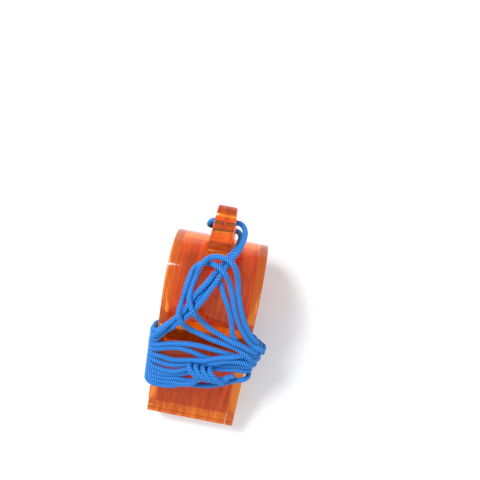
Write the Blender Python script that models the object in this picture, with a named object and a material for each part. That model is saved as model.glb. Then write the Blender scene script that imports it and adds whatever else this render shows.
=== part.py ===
"""Pea whistle with a cord lanyard wound round its mouthpiece.

The whistle is drawn level in its own frame: the barrel's axis runs along X through the origin,
the mouthpiece points along -Y and the flat top is at +Z. An empty then tips it forward until the
barrel and the lower lip of the mouthpiece both rest on the ground plane, which is how it lies.
"""

import math

import bmesh
import bpy
from mathutils import Matrix, Vector

MM = 0.001

# Whistle, outside
WIDTH = 22.0 * MM
BARREL_RADIUS = 11.0 * MM
MOUTH_REACH = 34.6 * MM          # barrel axis to the end of the mouthpiece
TIP_HEIGHT = 6.5 * MM
NECK_HEIGHT = 7.2 * MM           # height of the mouthpiece where it meets the barrel
TIP_ROUNDING = 0.6 * MM
RIM_ROUNDING = 0.8 * MM
LIP_LENGTH = 1.3 * MM
BITE_GROOVE_LENGTH = 2.9 * MM
BITE_GROOVE_DEPTH = 0.35 * MM
BITE_GROOVE_SLOPE = 0.25 * MM    # length of the groove's sloping ends

# Walls and cavities
SIDE_WALL = 2.0 * MM
BARREL_WALL = 1.6 * MM
ROOF_WALL = 1.2 * MM
WINDWAY_EXIT_HEIGHT = 1.5 * MM
WINDWAY_MOUTH_HEIGHT = 3.7 * MM
WINDOW_FRONT = 12.0 * MM         # distances ahead of the barrel axis
WINDOW_EDGE = 6.0 * MM
WINDOW_RAMP_TOP = 2.6 * MM
THROAT_DEPTH = 0.5 * MM          # how far the throat's roof lies inside the chamber's
CHAMBER_RADIUS = BARREL_RADIUS - BARREL_WALL
OVERCUT = 1.0 * MM               # how far a cutter runs past the surface that it opens
OVERLAP = 0.5 * MM               # how far joined shapes reach into each other

# Side cover
GAP = 0.3 * MM
COVER_THICKNESS = 1.95 * MM
RING_WALL = 1.1 * MM
RING_DEPTH = 1.4 * MM
PANEL_RADIUS = 7.6 * MM
PANEL_DEPTH = 0.3 * MM

# Lug
LUG_TIP_CENTRE = (18.2 * MM, 2.4 * MM)
LUG_TIP_RADIUS = 2.8 * MM
LUG_ROOT_TOP = (8.6 * MM, 5.9 * MM)
LUG_ROOT_BOTTOM = (10.2 * MM, -2.2 * MM)
LUG_TIP_WIDTH = 4.4 * MM
LUG_ROOT_WIDTH = 6.4 * MM
LUG_ROUNDING = 0.5 * MM
LUG_HOLE_REACH = 17.2 * MM
LUG_HOLE_RADIUS = 1.4 * MM

# Pea
PEA_RADIUS = 4.3 * MM
PEA_SIDE_SHIFT = 2.4 * MM

# Lanyard
CORD_DIAMETER = 1.2 * MM
ON_SURFACE = 0.95 * MM           # cord centre above the surface that it lies on
WINDING_HALF_WIDTH = 13.7 * MM
WINDING_TOP = 13.8 * MM
WINDING_BOTTOM = 1.3 * MM
WINDING_FRONT_TOP = -10.6 * MM
WINDING_FRONT_BOTTOM = -12.6 * MM
WINDING_BACK = -22.9 * MM
WINDING_BACK_SLANT = 0.21        # the last turns lie lower on the left than on the right
WINDING_ROUNDING = 2.6 * MM
KNOT_CENTRE = (2.4 * MM, -17.4 * MM, 15.6 * MM)
KNOT_SIZE = (5.6 * MM, 4.2 * MM, 2.8 * MM)

ARC_STEP = 6.0                   # degrees between points of a round outline
CURVE_STEPS = 24                 # points read between two points of a lanyard route
WELD = 0.001 * MM                # points closer than this are one point


def lying_tilt():
    """Angle that brings the mouthpiece's rounded lower lip down to the level of the barrel's underside."""
    lip_reach = MOUTH_REACH - TIP_ROUNDING
    lip_height = BARREL_RADIUS - TIP_HEIGHT + TIP_ROUNDING
    drop = math.asin((BARREL_RADIUS - TIP_ROUNDING) / math.hypot(lip_reach, lip_height))
    return drop + math.atan2(lip_height, lip_reach)


TILT = lying_tilt()
TILT_SIN = math.sin(TILT)
TILT_COS = math.cos(TILT)


def tipped(y, z):
    """Place in the whistle's own side view, turned to how it lies (about the barrel's axis)."""
    return y * TILT_COS - z * TILT_SIN, z * TILT_COS + y * TILT_SIN


LUG_END = tipped(*LUG_TIP_CENTRE)[0] + LUG_TIP_RADIUS
MOUTH_END = tipped(TIP_ROUNDING - MOUTH_REACH, BARREL_RADIUS - TIP_ROUNDING)[0] - TIP_ROUNDING
AXIS_Y = -(LUG_END + MOUTH_END) / 2.0
AXIS_Z = BARREL_RADIUS
HOLE_Y, HOLE_Z = tipped(LUG_HOLE_REACH, LUG_TIP_CENTRE[1])


# ---------------------------------------------------------------- scene helpers

def clear_scene():
    for item in list(bpy.data.objects):
        bpy.data.objects.remove(item, do_unlink=True)


def new_collection(name):
    collection = bpy.data.collections.new(name)
    bpy.context.scene.collection.children.link(collection)
    return collection


def new_material(name, colour, roughness, alpha=1.0):
    material = bpy.data.materials.new(name)
    material.use_nodes = True
    shader = material.node_tree.nodes["Principled BSDF"]
    shader.inputs["Base Color"].default_value = (*colour, 1.0)
    shader.inputs["Roughness"].default_value = roughness
    shader.inputs["Metallic"].default_value = 0.0
    shader.inputs["Alpha"].default_value = alpha
    material.diffuse_color = (*colour, alpha)
    return material


def add_object(name, mesh, collection, parent=None, material=None):
    item = bpy.data.objects.new(name, mesh)
    collection.objects.link(item)
    item.parent = parent
    if material:
        mesh.materials.append(material)
    return item


def shade_smooth(mesh):
    mesh.shade_smooth()
    mesh.set_sharp_from_angle(angle=math.radians(35.0))


def as_cutter(item):
    item.hide_render = True
    item.display_type = "WIRE"
    return item


def boolean(target, other, operation):
    modifier = target.modifiers.new(operation.lower() + "_" + other.name, "BOOLEAN")
    modifier.operation = operation
    modifier.solver = "EXACT"
    modifier.object = other


# ---------------------------------------------------------------- outlines in the side view

def arc(centre, radius, start, end, steps=None):
    """Points (y, z) on a round stretch, angles in degrees from +Y towards +Z."""
    if steps is None:
        steps = max(1, round(abs(end - start) / ARC_STEP))
    points = []
    for index in range(steps + 1):
        angle = math.radians(start + (end - start) * index / steps)
        points.append((centre[0] + radius * math.cos(angle), centre[1] + radius * math.sin(angle)))
    return points


def underside(y, grow=0.0):
    """Height of the mouthpiece's lower face at a place along it."""
    share = (-y - BARREL_RADIUS) / (MOUTH_REACH - BARREL_RADIUS)
    return BARREL_RADIUS - NECK_HEIGHT + (NECK_HEIGHT - TIP_HEIGHT) * share - grow


def bite_groove(z_tip, z_inner, direction):
    """Four corners of the shallow groove behind the lip, on the top (-1) or the underside (+1)."""
    lip_end = -MOUTH_REACH + LIP_LENGTH
    groove_end = lip_end + BITE_GROOVE_LENGTH
    depth = direction * BITE_GROOVE_DEPTH
    return [(lip_end, z_tip), (lip_end + BITE_GROOVE_SLOPE, z_tip + depth),
            (groove_end - BITE_GROOVE_SLOPE, z_inner + depth), (groove_end, z_inner)]


def whistle_outline(grow=0.0, grooves=True):
    """Closed side view of the barrel and mouthpiece, run clockwise from the top of the barrel."""
    radius = BARREL_RADIUS + grow
    tip = -MOUTH_REACH - grow
    low = underside(-MOUTH_REACH, grow)
    join_height = underside(-BARREL_RADIUS, grow)
    join_angle = 180.0 - math.degrees(math.asin(join_height / radius))
    barrel = arc((0.0, 0.0), radius, 90.0, join_angle - 360.0)
    corner = TIP_ROUNDING
    lower = arc((tip + corner, low + corner), corner, 270.0, 180.0, 3)
    upper = arc((tip + corner, radius - corner), corner, 180.0, 90.0, 3)
    if not grooves:
        return barrel + lower + upper
    groove_end = -MOUTH_REACH + LIP_LENGTH + BITE_GROOVE_LENGTH
    under_groove = bite_groove(underside(-MOUTH_REACH + LIP_LENGTH), underside(groove_end), 1.0)
    top_groove = bite_groove(BARREL_RADIUS, BARREL_RADIUS, -1.0)
    return barrel + list(reversed(under_groove)) + lower + upper + top_groove


def window_outline():
    """Air window, labium ramp and the throat between the window and the round chamber."""
    floor = BARREL_RADIUS - ROOF_WALL - WINDWAY_EXIT_HEIGHT
    above = BARREL_RADIUS + OVERCUT
    return [(-CHAMBER_RADIUS, 0.0), (-CHAMBER_RADIUS, floor), (-WINDOW_FRONT, floor),
            (-WINDOW_FRONT, above), (-WINDOW_RAMP_TOP, above), (-WINDOW_RAMP_TOP, BARREL_RADIUS),
            (-WINDOW_EDGE, BARREL_RADIUS - ROOF_WALL), (-WINDOW_RAMP_TOP, CHAMBER_RADIUS - THROAT_DEPTH),
            (-WINDOW_RAMP_TOP, 0.0)]


def windway_outline():
    """Flat air passage that narrows from the mouth to the window."""
    roof = BARREL_RADIUS - ROOF_WALL
    inner = -WINDOW_FRONT + OVERLAP
    outer = -MOUTH_REACH - OVERCUT
    return [(outer, roof), (inner, roof), (inner, roof - WINDWAY_EXIT_HEIGHT),
            (outer, roof - WINDWAY_MOUTH_HEIGHT)]


def lug_outline():
    """Tongue with a round end, standing out of the upper back of the barrel."""
    end = arc(LUG_TIP_CENTRE, LUG_TIP_RADIUS, 84.0, -68.0, 12)
    return [LUG_ROOT_BOTTOM, LUG_ROOT_TOP] + end


# ---------------------------------------------------------------- solids

def prism(name, outline, x_low, x_high, collection, parent, material=None):
    """Side-view outline, filled and extruded between two planes across X."""
    curve = bpy.data.curves.new(name, "CURVE")
    curve.dimensions = "2D"
    curve.fill_mode = "BOTH"
    curve.extrude = (x_high - x_low) / 2.0
    spline = curve.splines.new("POLY")
    spline.points.add(len(outline) - 1)
    for point, (y, z) in zip(spline.points, outline):
        point.co = (y, z, 0.0, 1.0)
    spline.use_cyclic_u = True
    flat = bpy.data.objects.new(name + "_curve", curve)
    collection.objects.link(flat)
    mesh = mesh_of(flat)
    side_view = Matrix(((0.0, 0.0, 1.0), (1.0, 0.0, 0.0), (0.0, 1.0, 0.0))).to_4x4()
    mesh.transform(Matrix.Translation(((x_low + x_high) / 2.0, 0.0, 0.0)) @ side_view)
    mesh.name = name
    return add_object(name, mesh, collection, parent, material)


def mesh_of(curve_object):
    """Mesh of a curve object with its caps welded on; the curve is removed."""
    depsgraph = bpy.context.evaluated_depsgraph_get()
    depsgraph.update()
    mesh = bpy.data.meshes.new_from_object(curve_object.evaluated_get(depsgraph))
    bpy.data.objects.remove(curve_object, do_unlink=True)
    work = bmesh.new()
    work.from_mesh(mesh)
    bmesh.ops.remove_doubles(work, verts=work.verts, dist=WELD)
    bmesh.ops.recalc_face_normals(work, faces=work.faces)
    work.to_mesh(mesh)
    work.free()
    return mesh


def round_rim(item, x_plane, width, segments=2):
    """Bevel the edges that lie in one side plane of a prism."""
    work = bmesh.new()
    work.from_mesh(item.data)
    rim = [edge for edge in work.edges if all(abs(v.co.x - x_plane) < WELD for v in edge.verts)
           and edge.calc_face_angle(0.0) > math.radians(40.0)]
    bmesh.ops.bevel(work, geom=rim, offset=width, segments=segments, profile=0.5, affect="EDGES",
                    clamp_overlap=True)
    work.to_mesh(item.data)
    work.free()


def drum(name, radius, x_low, x_high, collection, parent, centre=(0.0, 0.0), sides=60, material=None):
    """Round solid with its axis along X."""
    work = bmesh.new()
    bmesh.ops.create_cone(work, cap_ends=True, segments=sides, radius1=radius, radius2=radius,
                          depth=x_high - x_low)
    place = Matrix.Translation(((x_low + x_high) / 2.0, centre[0], centre[1]))
    bmesh.ops.transform(work, matrix=place @ Matrix.Rotation(math.pi / 2.0, 4, "Y"), verts=work.verts)
    mesh = bpy.data.meshes.new(name)
    work.to_mesh(mesh)
    work.free()
    return add_object(name, mesh, collection, parent, material)


def build_lug(collection, parent):
    """Lug blank: wide at the root and narrower at the end, with rounded cheeks."""
    half = LUG_ROOT_WIDTH / 2.0
    lug = prism("lug_blank", lug_outline(), -half, half, collection, parent)
    end = LUG_TIP_CENTRE[0] + LUG_TIP_RADIUS
    round_rim(lug, -half, LUG_ROUNDING)
    round_rim(lug, half, LUG_ROUNDING)
    for vertex in lug.data.vertices:
        share = (vertex.co.y - LUG_ROOT_TOP[0]) / (end - LUG_ROOT_TOP[0])
        vertex.co.x *= 1.0 + (LUG_TIP_WIDTH / LUG_ROOT_WIDTH - 1.0) * share
    return as_cutter(lug)


def build_body(parts, cutters, cradle, material):
    left = -WIDTH / 2.0
    right = WIDTH / 2.0 - COVER_THICKNESS - GAP
    inner = left + SIDE_WALL
    beyond = WIDTH
    body = prism("whistle_body", whistle_outline(), left, right, parts, cradle, material)
    round_rim(body, left, RIM_ROUNDING)
    boolean(body, build_lug(cutters, cradle), "UNION")
    hollows = [
        drum("chamber_cut", CHAMBER_RADIUS, inner, beyond, cutters, cradle),
        prism("window_cut", window_outline(), inner, beyond, cutters, cradle),
        prism("windway_cut", windway_outline(), inner, beyond, cutters, cradle),
        drum("lug_hole_cut", LUG_HOLE_RADIUS, -WIDTH, WIDTH, cutters, cradle,
             (LUG_HOLE_REACH, LUG_TIP_CENTRE[1]), 24),
        drum("left_panel_cut", PANEL_RADIUS, left - OVERCUT, left + PANEL_DEPTH, cutters, cradle),
    ]
    for hollow in hollows:
        boolean(body, as_cutter(hollow), "DIFFERENCE")
    shade_smooth(body.data)
    return body


def build_cover(parts, cutters, cradle, material):
    right = WIDTH / 2.0
    inner = right - COVER_THICKNESS
    cover = prism("side_cover", whistle_outline(), inner, right, parts, cradle, material)
    round_rim(cover, right, RIM_ROUNDING)
    outer_radius = CHAMBER_RADIUS - GAP
    ring = drum("cover_ring", outer_radius, inner - RING_DEPTH, inner + OVERLAP, cutters, cradle)
    boolean(cover, as_cutter(ring), "UNION")
    bore = drum("ring_bore_cut", outer_radius - RING_WALL, inner - 2.0 * RING_DEPTH, inner,
                cutters, cradle)
    panel = drum("right_panel_cut", PANEL_RADIUS, right - PANEL_DEPTH, right + OVERCUT,
                 cutters, cradle)
    boolean(cover, as_cutter(bore), "DIFFERENCE")
    boolean(cover, as_cutter(panel), "DIFFERENCE")
    shade_smooth(cover.data)
    return cover


def build_pea(parts, material):
    """Ball lying on the lowest line of the chamber; its origin is on the barrel's axis."""
    drop = CHAMBER_RADIUS - PEA_RADIUS - GAP
    work = bmesh.new()
    bmesh.ops.create_uvsphere(work, u_segments=24, v_segments=14, radius=PEA_RADIUS)
    bmesh.ops.translate(work, verts=work.verts, vec=(0.0, 0.0, -drop))
    mesh = bpy.data.meshes.new("pea")
    work.to_mesh(mesh)
    work.free()
    mesh.shade_smooth()
    pea = add_object("pea", mesh, parts, None, material)
    pea.location = (PEA_SIDE_SHIFT, AXIS_Y, AXIS_Z)
    return pea


# ---------------------------------------------------------------- lanyard

def over(x, y, lift=ON_SURFACE / MM):
    """Place above the whistle's upper surface, in millimetres from the barrel's axis."""
    radius = BARREL_RADIUS + lift * MM
    y = y * MM
    if y >= -radius * TILT_SIN:
        z = math.sqrt(radius * radius - y * y)
    else:
        z = radius * TILT_COS + (y + radius * TILT_SIN) * TILT_SIN / TILT_COS
    return Vector((x * MM, AXIS_Y + y, AXIS_Z + z))


def at(x, y, z):
    """Free place, in millimetres: y from the barrel's axis and z from the ground."""
    return Vector((x * MM, AXIS_Y + y * MM, z * MM))


def in_hole(x):
    return Vector((x * MM, AXIS_Y + HOLE_Y, AXIS_Z + HOLE_Z))


def route_a():
    """From the lug's hole to the right, down over the barrel and across to the left shoulder."""
    return [in_hole(0.2), in_hole(2.8), at(3.9, 14.9, 20.9), at(4.8, 13.4, 21.0), at(5.2, 11.9, 21.0),
            at(5.2, 10.4, 21.1), at(5.2, 9.3, 21.8), at(5.0, 8.1, 23.3), at(3.8, 6.8, 23.3),
            at(2.9, 5.5, 22.8), over(2.2, 4.0, 1.6), over(1.5, 2.4, 1.6), over(0.7, 1.0, 2.5),
            over(-0.1, -0.5, 2.5), over(-0.8, -1.9, 2.5), over(-1.6, -3.6, 2.5), over(-2.5, -5.2, 2.5),
            over(-3.5, -6.8, 2.5), over(-4.6, -8.3, 2.5), over(-5.8, -9.6, 2.5), over(-6.9, -10.6, 2.5),
            over(-7.9, -11.5, 2.5), over(-9.3, -12.7, 2.6), over(-10.6, -13.7, 2.6),
            at(-12.0, -14.3, 18.9), at(-12.9, -14.4, 18.0)]


def route_b():
    """From the lug's hole to the left, under the lug, then beside the first run."""
    return [in_hole(-0.2), in_hole(-2.8), at(-3.7, 14.3, 20.1), at(-4.1, 14.1, 17.8),
            at(-3.1, 14.0, 15.1), at(-0.6, 13.6, 14.1), at(2.0, 13.4, 13.8), at(4.1, 12.9, 14.6),
            at(4.4, 11.6, 16.6), at(4.3, 10.4, 18.7), at(4.1, 9.4, 20.4), at(3.6, 8.3, 21.8),
            at(2.7, 7.1, 22.0), over(1.9, 5.9, 1.6), over(1.0, 4.9, 1.1), over(0.1, 3.5, 1.3),
            over(-0.9, 1.6, 2.3), over(-1.8, 0.0, 2.5), over(-2.8, -1.7, 2.5), over(-3.7, -3.6, 2.5),
            over(-4.5, -5.3, 2.5), over(-5.4, -6.9, 2.5), over(-6.2, -8.0, 2.5), over(-7.2, -9.0, 2.5),
            over(-8.2, -9.8, 2.5), over(-9.6, -11.0, 2.5), over(-11.0, -12.2, 2.8),
            at(-12.4, -12.8, 19.2), at(-13.1, -13.1, 18.0)]


def route_under():
    """Short run under the other two, turned back close to the barrel's top."""
    return [over(6.5, -12.9), over(6.4, -11.4), over(6.2, -9.9), over(5.8, -8.2), over(5.3, -6.6),
            over(4.6, -5.0), over(3.8, -3.5), over(2.9, -2.1), over(2.1, -0.8), over(1.3, 0.5),
            over(0.3, 0.8), over(-0.6, 0.2), over(-1.2, -1.2), over(-2.0, -2.9), over(-3.0, -4.8),
            over(-4.1, -6.4), over(-5.3, -7.9), over(-6.7, -9.2), over(-8.5, -10.6),
            over(-10.2, -11.7, 1.2), at(-11.9, -12.5, 18.1), at(-12.6, -12.9, 16.6)]


def route_outer():
    """Loop that is the outer one on the right and, past the crossing at the top, the inner one."""
    return [at(12.7, -11.0, 17.6), at(12.5, -10.7, 18.9), over(11.9, -10.1, 1.9), over(10.8, -9.2, 1.5),
            over(9.7, -7.8, 1.0), over(8.3, -5.8), over(7.3, -3.8), over(6.6, -2.1), over(6.0, -0.6, 1.1),
            over(5.5, 1.3, 1.7), over(5.0, 2.8, 2.6), over(4.5, 4.2, 3.6), over(3.7, 5.4, 4.4),
            over(2.6, 6.1, 4.4), over(1.4, 6.4, 4.2), over(0.3, 6.5, 3.6), over(-1.0, 6.3, 3.0),
            over(-2.2, 5.7, 3.2), over(-3.0, 4.7, 3.5), over(-3.5, 3.6, 3.1), over(-3.9, 2.3, 1.6),
            over(-4.1, 0.8), over(-4.3, -1.1, 1.6), over(-4.4, -2.6, 3.4), over(-3.9, -4.1, 4.8),
            over(-3.2, -5.4, 4.5), over(-2.2, -6.6, 4.2), over(-0.9, -8.1, 3.2), over(0.6, -9.6, 1.7),
            over(2.7, -11.0), over(4.7, -11.8, 1.8), over(6.7, -12.1, 2.8), over(8.8, -12.4, 2.5),
            over(11.0, -13.0, 2.2), at(12.3, -13.4, 17.3)]


def route_inner():
    """Loop that is the inner one on the right and passes under the other at the top left."""
    return [at(13.4, -12.6, 17.0), at(12.9, -12.3, 18.5), over(11.8, -11.6, 2.2), over(10.6, -11.0, 1.6),
            over(9.3, -10.1, 1.0), over(8.0, -8.7), over(6.9, -6.9), over(5.9, -4.8), over(5.1, -2.6, 1.2),
            over(4.4, -0.7, 1.7), over(3.6, 1.0, 2.5), over(3.0, 2.1, 3.2), over(2.2, 3.1, 3.4),
            over(1.2, 3.9, 3.5), over(0.1, 4.4, 3.3), over(-1.1, 4.6, 2.0), over(-2.3, 4.6, 1.1),
            over(-3.4, 4.3), over(-4.3, 3.7), over(-4.9, 2.9), over(-5.3, 1.7), over(-5.5, 0.5),
            over(-5.6, -0.8), over(-5.7, -2.5, 1.4), over(-5.9, -4.5, 3.0), over(-6.1, -6.4, 4.2),
            over(-5.9, -7.9, 4.2), over(-5.3, -9.2, 4.1), over(-4.4, -10.2, 3.3), over(-3.1, -11.1, 2.4),
            over(-0.9, -12.1, 1.3), over(1.5, -12.8), over(4.0, -13.3, 1.4), over(5.9, -13.6, 2.7),
            over(8.6, -13.9, 2.7), over(10.9, -14.3, 2.5), at(12.6, -14.5, 18.0)]


def catmull_rom(a, b, c, d, t):
    return 0.5 * ((2.0 * b) + (c - a) * t + (2.0 * a - 5.0 * b + 4.0 * c - d) * t * t
                  + (3.0 * b - a - 3.0 * c + d) * t * t * t)


def smooth_route(points, spacing):
    """Evenly spaced points read from a smooth curve through the route's own points."""
    padded = [2.0 * points[0] - points[1]] + points + [2.0 * points[-1] - points[-2]]
    fine = []
    for index in range(len(points) - 1):
        for step in range(CURVE_STEPS):
            fine.append(catmull_rom(*padded[index:index + 4], step / CURVE_STEPS))
    fine.append(points[-1])
    lengths = [0.0]
    for first, second in zip(fine, fine[1:]):
        lengths.append(lengths[-1] + (second - first).length)
    count = max(2, round(lengths[-1] / spacing))
    result = []
    cursor = 0
    for index in range(count + 1):
        wanted = lengths[-1] * index / count
        while cursor < len(fine) - 2 and lengths[cursor + 1] < wanted:
            cursor += 1
        span = lengths[cursor + 1] - lengths[cursor]
        share = (wanted - lengths[cursor]) / span if span > 0.0 else 0.0
        result.append(fine[cursor].lerp(fine[cursor + 1], min(1.0, share)))
    return result


def build_cord(name, points, collection, material):
    curve = bpy.data.curves.new(name, "CURVE")
    curve.dimensions = "3D"
    curve.bevel_depth = CORD_DIAMETER / 2.0
    curve.bevel_resolution = 2
    curve.use_fill_caps = True
    path = smooth_route(points, 3.0 * CORD_DIAMETER)
    spline = curve.splines.new("POLY")
    spline.points.add(len(path) - 1)
    for point, place in zip(spline.points, path):
        point.co = (*place, 1.0)
    cord = bpy.data.objects.new(name, curve)
    collection.objects.link(cord)
    curve.materials.append(material)
    return cord


def build_winding(parts, cutters, cradle, material):
    """Outer shape of the turns wound round the mouthpiece."""
    work = bmesh.new()
    bmesh.ops.create_cube(work, size=2.0)
    along = [edge for edge in work.edges
             if abs(edge.verts[0].co.y - edge.verts[1].co.y) > 1.0]
    half_height = (WINDING_TOP - WINDING_BOTTOM) / 2.0
    middle = (WINDING_TOP + WINDING_BOTTOM) / 2.0
    bmesh.ops.scale(work, vec=(WINDING_HALF_WIDTH, 1.0, half_height), verts=work.verts)
    bmesh.ops.bevel(work, geom=along, offset=WINDING_ROUNDING, segments=3, profile=0.5,
                    affect="EDGES")
    for vertex in work.verts:
        share = (vertex.co.z + half_height) / (2.0 * half_height)
        if vertex.co.y > 0.0:
            vertex.co.y = WINDING_FRONT_BOTTOM + (WINDING_FRONT_TOP - WINDING_FRONT_BOTTOM) * share
        else:
            vertex.co.y = WINDING_BACK + WINDING_BACK_SLANT * vertex.co.x
        vertex.co.z += middle
    mesh = bpy.data.meshes.new("lanyard_winding")
    work.to_mesh(mesh)
    work.free()
    winding = add_object("lanyard_winding", mesh, parts, cradle, material)
    half = WIDTH / 2.0 + GAP
    core = prism("mouthpiece_clearance", whistle_outline(GAP, False), -half, half, cutters, cradle)
    boolean(winding, as_cutter(core), "DIFFERENCE")
    return winding


def build_knot(parts, cradle, material):
    work = bmesh.new()
    bmesh.ops.create_icosphere(work, subdivisions=2, radius=0.5)
    bmesh.ops.scale(work, vec=KNOT_SIZE, verts=work.verts)
    mesh = bpy.data.meshes.new("lanyard_knot")
    work.to_mesh(mesh)
    work.free()
    mesh.shade_smooth()
    knot = add_object("lanyard_knot", mesh, parts, cradle, material)
    knot.location = KNOT_CENTRE
    return knot


def main():
    clear_scene()
    parts = new_collection("training_whistle")
    cutters = new_collection("cutters")
    orange = new_material("translucent_orange_plastic", (0.95, 0.20, 0.02), 0.15, 0.75)
    ball = new_material("pea_plastic", (0.80, 0.35, 0.06), 0.45)
    blue = new_material("blue_braided_cord", (0.03, 0.22, 0.75), 0.75)

    cradle = bpy.data.objects.new("lying_cradle", None)
    parts.objects.link(cradle)
    cradle.location = (0.0, AXIS_Y, AXIS_Z)
    cradle.rotation_euler = (TILT, 0.0, 0.0)

    build_body(parts, cutters, cradle, orange)
    build_cover(parts, cutters, cradle, orange)
    build_pea(parts, ball)
    build_winding(parts, cutters, cradle, blue)
    build_knot(parts, cradle, blue)
    routes = {
        "lanyard_run_a": route_a(),
        "lanyard_run_b": route_b(),
        "lanyard_under_run": route_under(),
        "lanyard_loop_outer": route_outer(),
        "lanyard_loop_inner": route_inner(),
    }
    for name, points in routes.items():
        build_cord(name, points, parts, blue)


main()
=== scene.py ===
"""Pea whistle in clear orange plastic with a braided cord wound round its mouthpiece.

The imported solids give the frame; the fine surfaces and the cord are made here, in the same place.
Lengths are in millimetres in the whistle's own level frame (barrel axis along X through the
origin, mouthpiece along -Y, flat top at +Z), and LYING turns them into metres as the whistle lies
on its table. The lamps, the floor and the bumps of the materials are given in metres.
"""
import math

import bmesh
import bpy
import numpy as np
from mathutils import Matrix, Vector


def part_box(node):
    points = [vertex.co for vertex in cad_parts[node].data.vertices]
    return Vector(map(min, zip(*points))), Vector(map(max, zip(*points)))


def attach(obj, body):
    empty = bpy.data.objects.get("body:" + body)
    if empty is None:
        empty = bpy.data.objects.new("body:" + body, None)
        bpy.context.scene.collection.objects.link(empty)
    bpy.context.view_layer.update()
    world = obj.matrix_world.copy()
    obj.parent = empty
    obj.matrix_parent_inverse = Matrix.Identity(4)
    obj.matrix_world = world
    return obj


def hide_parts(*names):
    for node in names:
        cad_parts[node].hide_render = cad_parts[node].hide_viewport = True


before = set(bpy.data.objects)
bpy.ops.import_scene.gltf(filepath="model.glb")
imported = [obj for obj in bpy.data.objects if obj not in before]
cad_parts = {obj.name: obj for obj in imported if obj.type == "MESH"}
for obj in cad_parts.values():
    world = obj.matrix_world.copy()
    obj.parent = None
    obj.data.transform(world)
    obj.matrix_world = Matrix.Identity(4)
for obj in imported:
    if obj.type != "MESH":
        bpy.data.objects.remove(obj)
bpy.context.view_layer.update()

MM = 0.001

# Whistle, the same sizes as its solids
WIDTH = 22.0
BARREL_RADIUS = 11.0
MOUTH_REACH = 34.6
TIP_HEIGHT = 6.5
NECK_HEIGHT = 7.2
TIP_ROUNDING = 0.6
RIM_ROUNDING = 0.8
LIP_LENGTH = 1.3
BITE_GROOVE_LENGTH = 2.9
BITE_GROOVE_DEPTH = 0.35
BITE_GROOVE_SLOPE = 0.25
SIDE_WALL = 2.0
BARREL_WALL = 1.6
ROOF_WALL = 1.2
WINDWAY_EXIT_HEIGHT = 1.5
WINDWAY_MOUTH_HEIGHT = 3.7
WINDOW_FRONT = 12.0
WINDOW_EDGE = 6.0
WINDOW_RAMP_TOP = 2.6
THROAT_DEPTH = 0.5
CHAMBER_RADIUS = BARREL_RADIUS - BARREL_WALL
OVERCUT = 1.0
OVERLAP = 0.5
SEAM_GAP = 0.12
COVER_THICKNESS = 1.95
RING_GAP = 0.3
RING_WALL = 1.1
RING_DEPTH = 1.4
PANEL_RADIUS = 7.6
PANEL_DEPTH = 0.3
LUG_TIP_CENTRE = (18.2, 2.4)
LUG_TIP_RADIUS = 2.8
LUG_ROOT_TOP = (8.6, 5.9)
LUG_ROOT_BOTTOM = (10.2, -2.2)
LUG_TIP_WIDTH = 4.4
LUG_ROOT_WIDTH = 6.4
LUG_ROUNDING = 0.5
LUG_END_ARC = (84.0, -68.0)
LUG_ROOT_DEPTH = 2.0             # of the lug's root inside the barrel
LUG_HOLE_REACH = 17.2
LUG_HOLE_RADIUS = 1.4
PEA_RADIUS = 4.3

# Cord
CORD_DIAMETER = 1.2
CORD_RADIUS = CORD_DIAMETER / 2.0
ON_SURFACE = 0.95                # usual lift of a strand's middle over the whistle
KNOT_CENTRE = (2.1, -17.3, 13.7)

# Camera and lamps
CAMERA_PLACE = (4.0, 11.0, 150.0)  # X and Y from the barrel's axis, Z from the ground
CAMERA_TURN = 11.0
LENS, SENSOR = 42.75, 36.0
WORLD_COLOUR, WORLD_STRENGTH = (0.93, 0.96, 1.0, 1.0), 0.6
KEY_PLACE, KEY_SIZE, KEY_POWER = (-0.16, 0.12, 0.24), 0.12, 1.1
FILL_PLACE, FILL_SIZE, FILL_POWER = (0.22, -0.10, 0.20), 0.16, 0.45
FLOOR_SIZE, FLOOR_DROP = 1.2, 0.00005

# Colours
STREAK_DARK, STREAK_LIGHT = (0.64, 0.125, 0.004, 1.0), (0.97, 0.32, 0.014, 1.0)
# painted light: the side walls are coloured paler, standing in for light shining through them
SIDE_WALL_PAINTED_LIGHT = (0.93, 0.34, 0.025, 1.0)
WALL_BLEND = (-0.3, 0.1)         # from the side wall's inner face, where its painted light begins and is full
GLOW_COLOUR, GLOW_STRENGTH = (1.0, 0.10, 0.003, 1.0), 0.05
PEA_DARK, PEA_LIGHT = (0.66, 0.27, 0.05, 1.0), (0.90, 0.44, 0.10, 1.0)
# painted shade in the gaps between yarns, the yarns' own blue on their sides, a painted highlight on
# their crowns
YARN_GAP_PAINTED_SHADE, YARN_SIDE, YARN_CROWN_PAINTED_HIGHLIGHT = (
    (0.001, 0.010, 0.10, 1.0), (0.004, 0.12, 0.50, 1.0), (0.070, 0.48, 1.0, 1.0))
FLOOR_COLOUR = (0.80, 0.81, 0.82, 1.0)


def lying_tilt():
    lip_reach = MOUTH_REACH - TIP_ROUNDING
    lip_height = BARREL_RADIUS - TIP_HEIGHT + TIP_ROUNDING
    drop = math.asin((BARREL_RADIUS - TIP_ROUNDING) / math.hypot(lip_reach, lip_height))
    return drop + math.atan2(lip_height, lip_reach)


TILT = lying_tilt()
TILT_SIN = math.sin(TILT)
TILT_COS = math.cos(TILT)


def tipped(y, z):
    return y * TILT_COS - z * TILT_SIN, z * TILT_COS + y * TILT_SIN


LUG_END = tipped(*LUG_TIP_CENTRE)[0] + LUG_TIP_RADIUS
MOUTH_END = tipped(TIP_ROUNDING - MOUTH_REACH, BARREL_RADIUS - TIP_ROUNDING)[0] - TIP_ROUNDING
AXIS_Y = -(LUG_END + MOUTH_END) / 2.0
AXIS_Z = BARREL_RADIUS

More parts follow.
